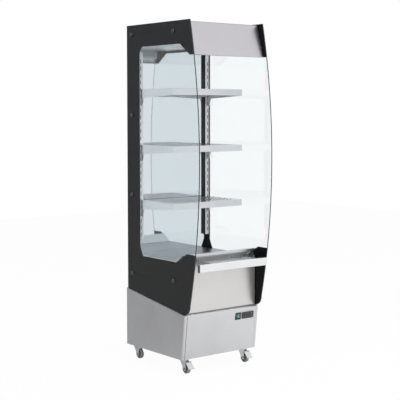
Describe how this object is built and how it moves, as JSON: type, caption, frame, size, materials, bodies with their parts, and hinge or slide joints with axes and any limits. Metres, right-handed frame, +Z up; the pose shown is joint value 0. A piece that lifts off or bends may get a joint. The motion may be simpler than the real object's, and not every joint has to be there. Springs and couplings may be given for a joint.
{
  "type": "heated display case",
  "caption": "Open-front heated display case: bowed glass sides, mirror back, hook-on shelves, heated deck, bumper bar and a base on swivel castors.",
  "frame": {"origin": "on the floor under the middle of the case's bounding box", "axes": "+X to the right seen from the front, +Y to the back, +Z up"},
  "size_m": [0.48, 0.609, 1.735],
  "materials": {
    "stainless_base": "vertical brushed grain, satin",
    "galvanised_steel": "zinc coated, dull",
    "service_steel": "brushed, satin",
    "glass": "toughened clear glass, polished edges",
    "black_print": "fired black enamel behind the glass",
    "black_nylon": "moulded, satin",
    "clear_nylon": "natural nylon",
    "mirror": "polished stainless",
    "stainless_header": "brushed along its length",
    "stainless_liner": "bright annealed",
    "white_paint": "white stove enamel",
    "opal_plastic": "opal diffuser",
    "stainless_fascia": "brushed, satin",
    "grille_steel": "brushed, punched",
    "polished_bar": "polished stainless",
    "bar_caps": "grey moulded",
    "white_standard": "white powder coat",
    "shelf_steel": "brushed, satin",
    "fan_plastic": "moulded",
    "heater_steel": "heat tinted",
    "switch_black": "moulded, glossy",
    "rocker_green": "translucent green",
    "controller_grey": "moulded, fine texture",
    "smoked_window": "smoked acrylic",
    "button_grey": "soft keys",
    "castor_zinc": "zinc plated",
    "castor_chrome": "chrome plated pressing",
    "wheel_grey": "grey rubber tread"
  },
  "bodies": {
    "cabinet": {"base_sides": "stainless_base", "base_front_panel": "stainless_base", "base_floor": "galvanised_steel", "base_top_plate": "galvanised_steel", "rear_duct": "galvanised_steel", "deck_supports": "galvanised_steel", "fan_bulkhead": "galvanised_steel", "heater_brackets": "galvanised_steel", "top_panel": "galvanised_steel", "service_cover": "service_steel", "glass_left": "glass", "glass_right": "glass", "glass_prints": "black_print", "cap_screws": "black_nylon", "cord_gland": "black_nylon", "glass_bushes": "clear_nylon", "mirror_panel": "mirror", "header_fascia": "stainless_header", "ceiling_panel": "stainless_liner", "deck_pan": "stainless_liner", "lamp_housing": "white_paint", "lamp_diffuser": "opal_plastic", "fascia_panel": "stainless_fascia", "intake_grille": "grille_steel", "bumper_bar": "polished_bar", "bar_arms": "polished_bar", "bar_end_caps": "bar_caps", "standards": "white_standard", "fan_frame": "fan_plastic", "terminal_box": "fan_plastic", "heater_element": "heater_steel", "switch_bezel": "switch_black", "controller_case": "controller_grey", "controller_window": "smoked_window", "castor_mounts": "castor_zinc"},
    "upper_shelf": {"shelf_upper": "shelf_steel", "shelf_brackets_upper": "shelf_steel"},
    "middle_shelf": {"shelf_middle": "shelf_steel", "shelf_brackets_middle": "shelf_steel"},
    "lower_shelf": {"shelf_lower": "shelf_steel", "shelf_brackets_lower": "shelf_steel"},
    "rocker": {"switch_rocker": "rocker_green"},
    "up_button": {"button_up": "button_grey"},
    "set_button": {"button_set": "button_grey"},
    "down_button": {"button_down": "button_grey"},
    "rotor": {"fan_rotor": "fan_plastic"},
    "front_left_fork": {"fork_front_left": "castor_chrome", "axle_front_left": "castor_zinc"},
    "front_left_wheel": {"wheel_front_left": "wheel_grey"},
    "front_left_brake": {"brake_pedal_front_left": "castor_zinc"},
    "front_right_fork": {"fork_front_right": "castor_chrome", "axle_front_right": "castor_zinc"},
    "front_right_wheel": {"wheel_front_right": "wheel_grey"},
    "front_right_brake": {"brake_pedal_front_right": "castor_zinc"},
    "rear_left_fork": {"fork_rear_left": "castor_chrome", "axle_rear_left": "castor_zinc"},
    "rear_left_wheel": {"wheel_rear_left": "wheel_grey"},
    "rear_right_fork": {"fork_rear_right": "castor_chrome", "axle_rear_right": "castor_zinc"},
    "rear_right_wheel": {"wheel_rear_right": "wheel_grey"}
  },
  "joints": [
    {"name": "upper_shelf_lift", "type": "slide", "parent": "cabinet", "child": "upper_shelf", "axis": [0, 0, 1], "range_m": [0, 0.008]},
    {"name": "middle_shelf_lift", "type": "slide", "parent": "cabinet", "child": "middle_shelf", "axis": [0, 0, 1], "range_m": [0, 0.008]},
    {"name": "lower_shelf_lift", "type": "slide", "parent": "cabinet", "child": "lower_shelf", "axis": [0, 0, 1], "range_m": [0, 0.008]},
    {"name": "switch_rock", "type": "hinge", "parent": "cabinet", "child": "rocker", "pos_m": [0.105, -0.18784, 0.25864], "axis": [1, 0, 0], "range_deg": [0, 16]},
    {"name": "up_press", "type": "slide", "parent": "cabinet", "child": "up_button", "axis": [0, 0.9944, 0.1061], "range_m": [0, 0.0006], "stiffness_N_per_m": 800, "springref_m": -0.0006},
    {"name": "set_press", "type": "slide", "parent": "cabinet", "child": "set_button", "axis": [0, 0.9944, 0.1061], "range_m": [0, 0.0006], "stiffness_N_per_m": 800, "springref_m": -0.0006},
    {"name": "down_press", "type": "slide", "parent": "cabinet", "child": "down_button", "axis": [0, 0.9944, 0.1061], "range_m": [0, 0.0006], "stiffness_N_per_m": 800, "springref_m": -0.0006},
    {"name": "fan_spin", "type": "hinge", "parent": "cabinet", "child": "rotor", "pos_m": [0, -0.0135, 0.455], "axis": [0, 1, 0], "continuous": true},
    {"name": "front_left_swivel", "type": "hinge", "parent": "cabinet", "child": "front_left_fork", "pos_m": [-0.19, -0.1285, 0.068], "axis": [0, 0, 1], "continuous": true},
    {"name": "front_left_roll", "type": "hinge", "parent": "front_left_fork", "child": "front_left_wheel", "pos_m": [-0.19, -0.1485, 0.025], "axis": [1, 0, 0], "continuous": true},
    {"name": "front_left_brake_press", "type": "hinge", "parent": "front_left_fork", "child": "front_left_brake", "pos_m": [-0.19, -0.1445, 0.06], "axis": [1, 0, 0], "range_deg": [0, 12]},
    {"name": "front_right_swivel", "type": "hinge", "parent": "cabinet", "child": "front_right_fork", "pos_m": [0.19, -0.1285, 0.068], "axis": [0, 0, 1], "continuous": true},
    {"name": "front_right_roll", "type": "hinge", "parent": "front_right_fork", "child": "front_right_wheel", "pos_m": [0.19, -0.1485, 0.025], "axis": [1, 0, 0], "continuous": true},
    {"name": "front_right_brake_press", "type": "hinge", "parent": "front_right_fork", "child": "front_right_brake", "pos_m": [0.19, -0.1445, 0.06], "axis": [1, 0, 0], "range_deg": [0, 12]},
    {"name": "rear_left_swivel", "type": "hinge", "parent": "cabinet", "child": "rear_left_fork", "pos_m": [-0.19, 0.2745, 0.068], "axis": [0, 0, 1], "continuous": true},
    {"name": "rear_left_roll", "type": "hinge", "parent": "rear_left_fork", "child": "rear_left_wheel", "pos_m": [-0.19, 0.2545, 0.025], "axis": [1, 0, 0], "continuous": true},
    {"name": "rear_right_swivel", "type": "hinge", "parent": "cabinet", "child": "rear_right_fork", "pos_m": [0.19, 0.2745, 0.068], "axis": [0, 0, 1], "continuous": true},
    {"name": "rear_right_roll", "type": "hinge", "parent": "rear_right_fork", "child": "rear_right_wheel", "pos_m": [0.19, 0.2545, 0.025], "axis": [1, 0, 0], "continuous": true}
  ]
}
